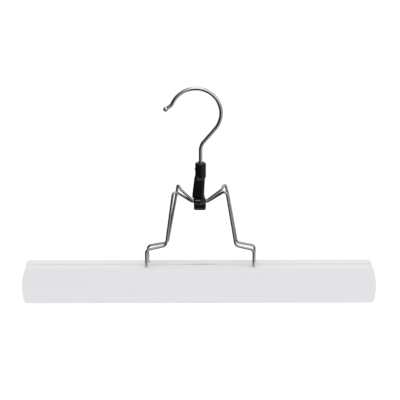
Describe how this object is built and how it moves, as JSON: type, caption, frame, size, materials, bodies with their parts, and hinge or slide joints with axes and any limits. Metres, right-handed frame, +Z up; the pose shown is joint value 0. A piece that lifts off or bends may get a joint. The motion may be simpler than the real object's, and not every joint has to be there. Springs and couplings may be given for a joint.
{
  "type": "trouser hanger",
  "caption": "Clamp hanger for trousers: white wooden bars on crossed chrome wire frames, closed by a black plastic cam lever under a swivelling chrome hook.",
  "frame": {"origin": "the inside of the hook's bend, where a rail carries it, straight above the swivel axis", "axes": "+X along the bars, with the hook's tip on the -X side; +Y to the rear; +Z up along the swivel axis"},
  "size_m": [0.38, 0.0252, 0.2359],
  "materials": {
    "hook_chrome": "bright nickel-chrome plated steel wire",
    "frame_chrome": "bright nickel-chrome plated spring steel wire",
    "lever_plastic": "black moulded plastic, satin gloss",
    "bar_wood": "hardwood under white satin lacquer",
    "felt": "pressed wool felt"
  },
  "bodies": {
    "hook": {"hook": "hook_chrome"},
    "lever": {"lever": "lever_plastic"},
    "rear_jaw": {"rear_frame": "frame_chrome", "rear_bar": "bar_wood", "rear_felt": "felt"},
    "front_jaw": {"front_frame": "frame_chrome", "front_bar": "bar_wood", "front_felt": "felt"}
  },
  "joints": [
    {"name": "hook_swivel", "type": "hinge", "parent": "hook", "child": "lever", "pos_m": [0, 0, -0.0768], "axis": [0, 0, 1], "continuous": true},
    {"name": "lever_swing", "type": "hinge", "parent": "lever", "child": "rear_jaw", "pos_m": [0, -0.0042, -0.1172], "axis": [-1, 0, 0], "range_deg": [0, 90]},
    {"name": "jaw_hinge", "type": "hinge", "parent": "rear_jaw", "child": "front_jaw", "pos_m": [0, 0, -0.1092], "axis": [-1, 0, 0], "range_deg": [0, 24]}
  ],
  "couplings": [
    {"joint": "jaw_hinge", "follows": "lever_swing", "ratio": 0.2666}
  ]
}
